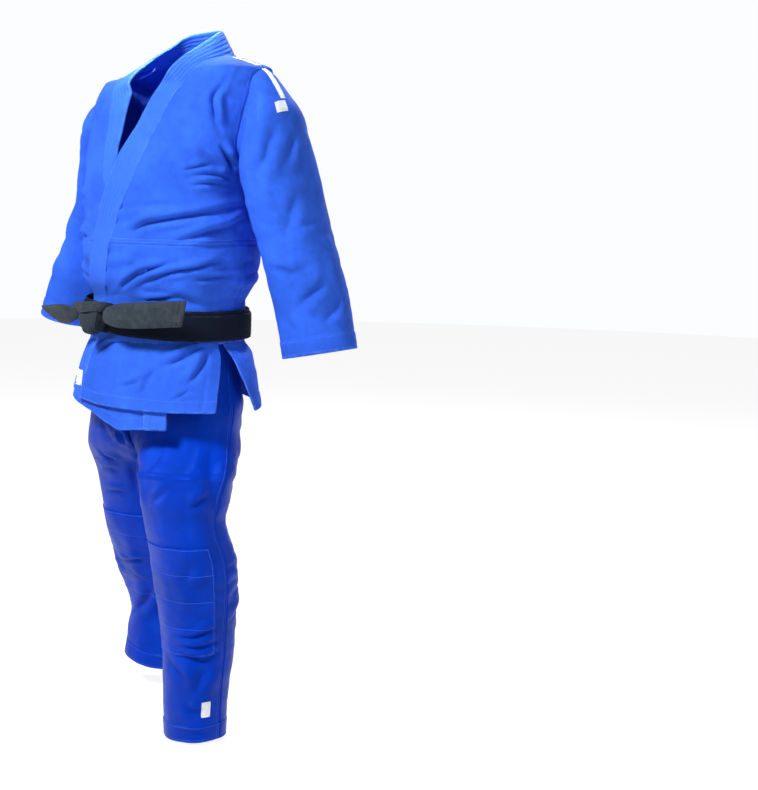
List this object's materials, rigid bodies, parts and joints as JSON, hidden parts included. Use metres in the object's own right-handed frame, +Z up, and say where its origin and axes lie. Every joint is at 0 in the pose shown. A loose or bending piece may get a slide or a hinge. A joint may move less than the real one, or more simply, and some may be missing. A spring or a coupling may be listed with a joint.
{
  "type": "martial arts uniform",
  "caption": "Blue judo uniform as worn: a quilted wrap jacket with a thick lapel, three-quarter sleeves and open side vents, loose trousers with knee patches, and a black belt tied in front.",
  "frame": {"origin": "middle of the wearer's neck at the height of the shoulder seams", "axes": "+Z up; the wearer faces -Y, so +X is the wearer's left"},
  "size_m": [0.7638, 0.4057, 1.4407],
  "materials": {
    "jacket_weave": "rice-grain cotton weave, matt",
    "jacket_skirt": "diamond-quilted cotton, matt",
    "lapel": "stitched cotton band, matt",
    "trouser_drill": "cotton drill with a soft sheen",
    "belt": "stitched black cotton strap",
    "label": "plain white woven tape"
  },
  "bodies": {
    "jacket": {"back_yoke": "jacket_weave", "back_body": "jacket_weave", "back_waist": "jacket_skirt", "left_front_body": "jacket_weave", "right_front_body": "jacket_weave", "left_front_waist": "jacket_skirt", "right_front_waist": "jacket_skirt", "left_collar": "lapel", "right_collar": "lapel", "left_lapel": "lapel", "right_lapel": "lapel", "left_shoulder_tape": "label", "right_shoulder_tape": "label", "belt_inner_wrap": "belt", "belt_outer_wrap": "belt", "belt_knot": "belt"},
    "left_sleeve_body": {"left_sleeve": "jacket_weave", "left_cuff_facing": "jacket_weave", "left_sleeve_tape": "label", "sleeve_badge": "label"},
    "right_sleeve_body": {"right_sleeve": "jacket_weave", "right_cuff_facing": "jacket_weave", "right_sleeve_tape": "label"},
    "outer_flap": {"outer_front_skirt": "jacket_skirt", "left_lapel_end": "lapel", "skirt_badge": "label"},
    "inner_flap": {"inner_front_skirt": "jacket_skirt", "right_lapel_end": "lapel"},
    "back_flap": {"back_skirt": "jacket_skirt"},
    "left_tail": {"left_belt_end": "belt"},
    "right_tail": {"right_belt_end": "belt"},
    "trousers": {"waistband": "trouser_drill", "left_cord_loop": "trouser_drill", "right_cord_loop": "trouser_drill", "left_front_seat": "trouser_drill", "left_back_seat": "trouser_drill", "right_front_seat": "trouser_drill", "right_back_seat": "trouser_drill"},
    "left_leg": {"left_leg_front": "trouser_drill", "left_leg_back": "trouser_drill", "left_knee_patch": "trouser_drill", "left_hem_facing": "trouser_drill", "trouser_badge": "label"},
    "right_leg": {"right_leg_front": "trouser_drill", "right_leg_back": "trouser_drill", "right_knee_patch": "trouser_drill", "right_hem_facing": "trouser_drill"}
  },
  "joints": [
    {"name": "left_arm_raise", "type": "hinge", "parent": "jacket", "child": "left_sleeve_body", "pos_m": [0.206, -0.005, -0.021], "axis": [0, -1, 0], "range_deg": [0, 60]},
    {"name": "right_arm_raise", "type": "hinge", "parent": "jacket", "child": "right_sleeve_body", "pos_m": [-0.206, -0.005, -0.043], "axis": [0, 1, 0], "range_deg": [0, 60]},
    {"name": "outer_flap_lift", "type": "hinge", "parent": "jacket", "child": "outer_flap", "pos_m": [0, -0.218, -0.5713], "axis": [-1, 0, 0], "range_deg": [0, 35]},
    {"name": "inner_flap_lift", "type": "hinge", "parent": "jacket", "child": "inner_flap", "pos_m": [0, -0.218, -0.5713], "axis": [-1, 0, 0], "range_deg": [0, 31.5]},
    {"name": "back_flap_lift", "type": "hinge", "parent": "jacket", "child": "back_flap", "pos_m": [0, 0.06, -0.5713], "axis": [1, 0, 0], "range_deg": [0, 23]},
    {"name": "left_tail_droop", "type": "hinge", "parent": "jacket", "child": "left_tail", "pos_m": [-0.01, -0.25, -0.513], "axis": [-0.2774, 0.9022, -0.3303], "range_deg": [0, 30]},
    {"name": "right_tail_droop", "type": "hinge", "parent": "jacket", "child": "right_tail", "pos_m": [-0.068, -0.249, -0.518], "axis": [-0.2559, -0.9084, 0.3305], "range_deg": [0, 30]},
    {"name": "trousers_down", "type": "slide", "parent": "jacket", "child": "trousers", "axis": [0, 0, -1], "range_m": [0, 0.25]},
    {"name": "left_leg_forward", "type": "hinge", "parent": "trousers", "child": "left_leg", "pos_m": [0.109, -0.228, -0.84], "axis": [-1, 0, 0], "range_deg": [0, 45]},
    {"name": "right_leg_forward", "type": "hinge", "parent": "trousers", "child": "right_leg", "pos_m": [-0.109, -0.144, -0.84], "axis": [-1, 0, 0], "range_deg": [0, 45]}
  ],
  "couplings": [
    {"joint": "inner_flap_lift", "follows": "outer_flap_lift", "ratio": 0.9}
  ]
}
